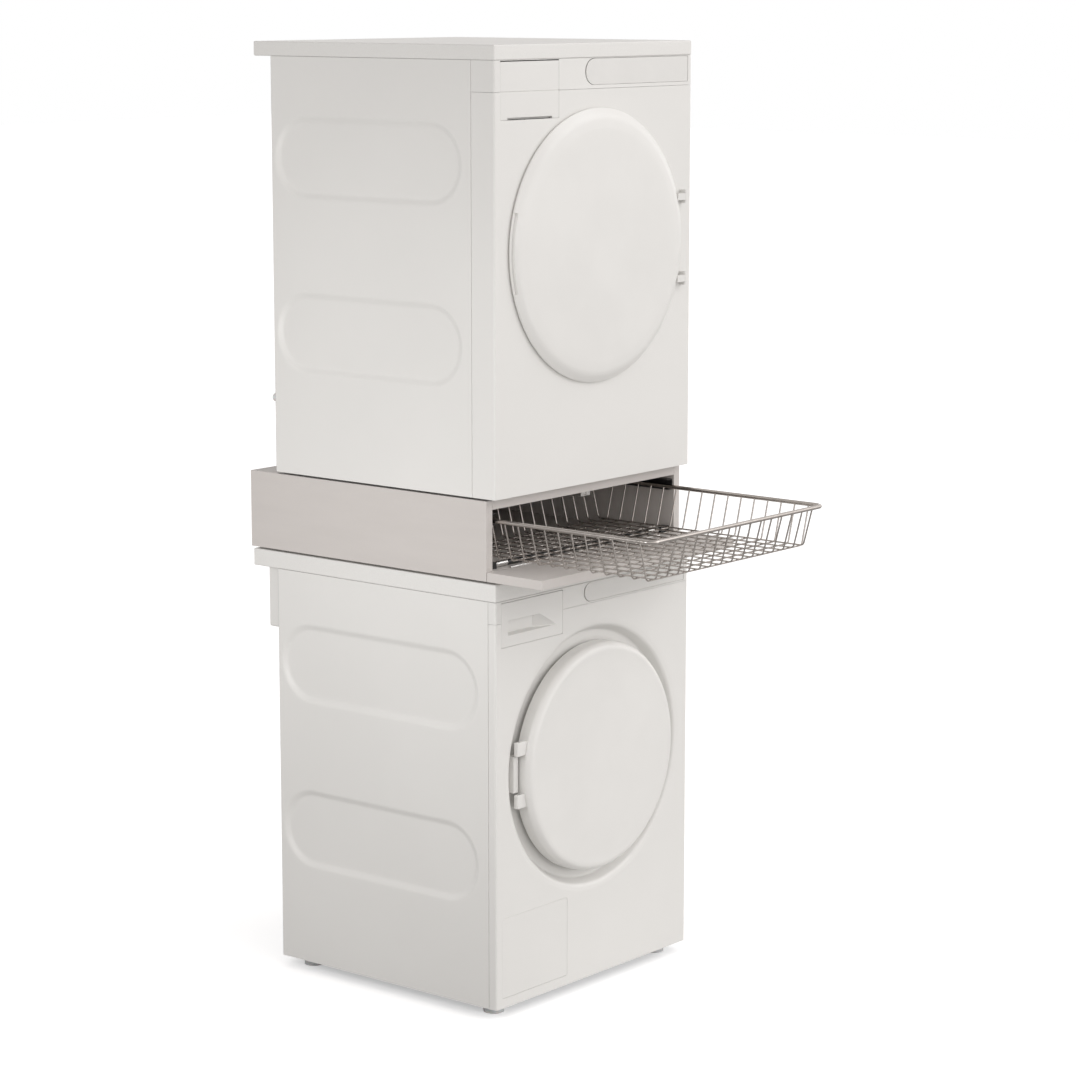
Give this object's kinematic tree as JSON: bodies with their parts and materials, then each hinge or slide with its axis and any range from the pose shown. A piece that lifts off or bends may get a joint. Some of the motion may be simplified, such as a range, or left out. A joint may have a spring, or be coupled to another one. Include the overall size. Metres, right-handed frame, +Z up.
{
  "type": "stacked washer and dryer with laundry basket unit",
  "caption": "Front-loading washer with a tumble dryer stacked on it and a pull-out wire laundry basket unit with a drop-down flap between them.",
  "frame": {"origin": "on the floor, at the centre of the footprint box taken with the basket pulled out", "axes": "+Z up; the machines' fronts face -Y; +X is to the right seen from the front"},
  "size_m": [0.595, 0.985, 1.841],
  "materials": {
    "white_enamel": "smooth white enamelled sheet steel",
    "white_worktop": "white laminated board with an eased edge",
    "white_plastic": "glossy white moulded ABS",
    "white_matte_plastic": "satin white moulded ABS",
    "grey_plastic": "grey moulded polypropylene",
    "galvanised_steel": "zinc-coated sheet with a faint spangle",
    "stainless_steel": "brushed perforated stainless steel",
    "cast_weight": "cast counterweight",
    "spring_steel": "coiled spring steel",
    "grey_rubber": "grey moulded rubber",
    "black_rubber": "black moulded rubber",
    "black_plastic": "black moulded nylon",
    "black_steel": "black powder-coated steel",
    "door_glass": "thick pressed glass",
    "display_window": "glossy white touch window",
    "motor_windings": "overmoulded stator",
    "warm_grey_board": "warm-grey melamine board",
    "light_plastic": "light grey moulded plastic",
    "chrome_wire": "bright chrome-plated steel wire",
    "hinge_steel": "pressed and plated hinge steel"
  },
  "bodies": {
    "cabinets": {"washer_side_panels": "white_enamel", "washer_rear_panel": "galvanised_steel", "washer_front_panel": "white_enamel", "washer_base": "galvanised_steel", "washer_worktop": "white_worktop", "washer_fascia": "white_matte_plastic", "washer_display": "display_window", "washer_rear_box": "white_matte_plastic", "washer_feet": "black_plastic", "washer_tub": "light_plastic", "washer_counterweight": "cast_weight", "washer_springs": "spring_steel", "washer_dampers": "grey_plastic", "washer_gasket": "grey_rubber", "washer_stator": "motor_windings", "washer_hinge_bracket": "white_matte_plastic", "washer_drawer_case": "light_plastic", "washer_pump": "light_plastic", "washer_inlet_valve": "light_plastic", "dryer_side_panels": "white_enamel", "dryer_rear_panel": "galvanised_steel", "dryer_front_panel": "white_enamel", "dryer_base": "grey_plastic", "dryer_worktop": "white_worktop", "dryer_fascia": "white_matte_plastic", "dryer_display": "display_window", "dryer_front_ring": "light_plastic", "dryer_heat_pump": "grey_plastic", "dryer_hinge_post": "hinge_steel", "dryer_drain_spigot": "grey_plastic", "stack_pads": "black_rubber", "unit_side_walls": "warm_grey_board", "unit_floor": "warm_grey_board", "unit_top": "warm_grey_board", "unit_back": "warm_grey_board", "flap_hinges": "hinge_steel", "flap_rod": "black_steel", "flap_catch": "hinge_steel", "unit_runners": "black_steel"},
    "washer_door": {"washer_door_cover": "white_plastic", "washer_door_glass": "door_glass", "washer_hinge_arms": "white_matte_plastic"},
    "washer_drum_assembly": {"washer_drum": "stainless_steel", "washer_lifters": "light_plastic", "washer_rotor": "galvanised_steel"},
    "detergent_drawer": {"washer_drawer_front": "white_plastic", "washer_drawer_tray": "light_plastic"},
    "service_flap": {"washer_service_flap": "white_matte_plastic"},
    "pump_filter": {"washer_pump_filter": "grey_plastic"},
    "drying_drum": {"dryer_drum": "stainless_steel", "dryer_lifters": "light_plastic"},
    "dryer_door": {"dryer_door_cover": "white_plastic", "dryer_door_inner": "light_plastic"},
    "lint_filter": {"dryer_lint_filter": "grey_plastic"},
    "water_container": {"dryer_tank_front": "white_plastic", "dryer_tank": "light_plastic"},
    "laundry_basket": {"basket_rim": "chrome_wire", "basket_cross_wires": "chrome_wire", "basket_long_wires": "chrome_wire"},
    "basket_flap": {"unit_flap": "warm_grey_board"}
  },
  "joints": [
    {"name": "washer_door_hinge", "type": "hinge", "parent": "cabinets", "child": "washer_door", "pos_m": [-0.238, -0.1465, 0.471], "axis": [0, 0, -1], "range_deg": [0, 110]},
    {"name": "washer_drum_spin", "type": "hinge", "parent": "cabinets", "child": "washer_drum_assembly", "pos_m": [0, 0.1075, 0.466], "axis": [0, 1, 0], "continuous": true},
    {"name": "detergent_drawer_slide", "type": "slide", "parent": "cabinets", "child": "detergent_drawer", "axis": [0, -1, 0], "range_m": [0, 0.24]},
    {"name": "service_flap_hinge", "type": "hinge", "parent": "cabinets", "child": "service_flap", "pos_m": [-0.182, -0.1425, 0.04], "axis": [1, 0, 0], "range_deg": [0, 90]},
    {"name": "pump_filter_turn", "type": "hinge", "parent": "cabinets", "child": "pump_filter", "pos_m": [-0.182, -0.1025, 0.092], "axis": [0, 1, 0], "range_deg": [0, 90]},
    {"name": "drying_drum_spin", "type": "hinge", "parent": "cabinets", "child": "drying_drum", "pos_m": [0, 0.1075, 1.46], "axis": [0, 1, 0], "continuous": true},
    {"name": "dryer_door_hinge", "type": "hinge", "parent": "cabinets", "child": "dryer_door", "pos_m": [0.266, -0.1525, 1.46], "axis": [0, 0, 1], "range_deg": [0, 120]},
    {"name": "lint_filter_lift", "type": "slide", "parent": "cabinets", "child": "lint_filter", "axis": [0, 0, 1], "range_m": [0, 0.11]},
    {"name": "water_container_slide", "type": "slide", "parent": "cabinets", "child": "water_container", "axis": [0, -1, 0], "range_m": [0, 0.3]},
    {"name": "basket_slide", "type": "slide", "parent": "cabinets", "child": "laundry_basket", "axis": [0, -1, 0], "range_m": [-0.374, 0]},
    {"name": "flap_hinge", "type": "hinge", "parent": "cabinets", "child": "basket_flap", "pos_m": [0, -0.121, 0.868], "axis": [1, 0, 0], "range_deg": [-5.5, 0]}
  ]
}
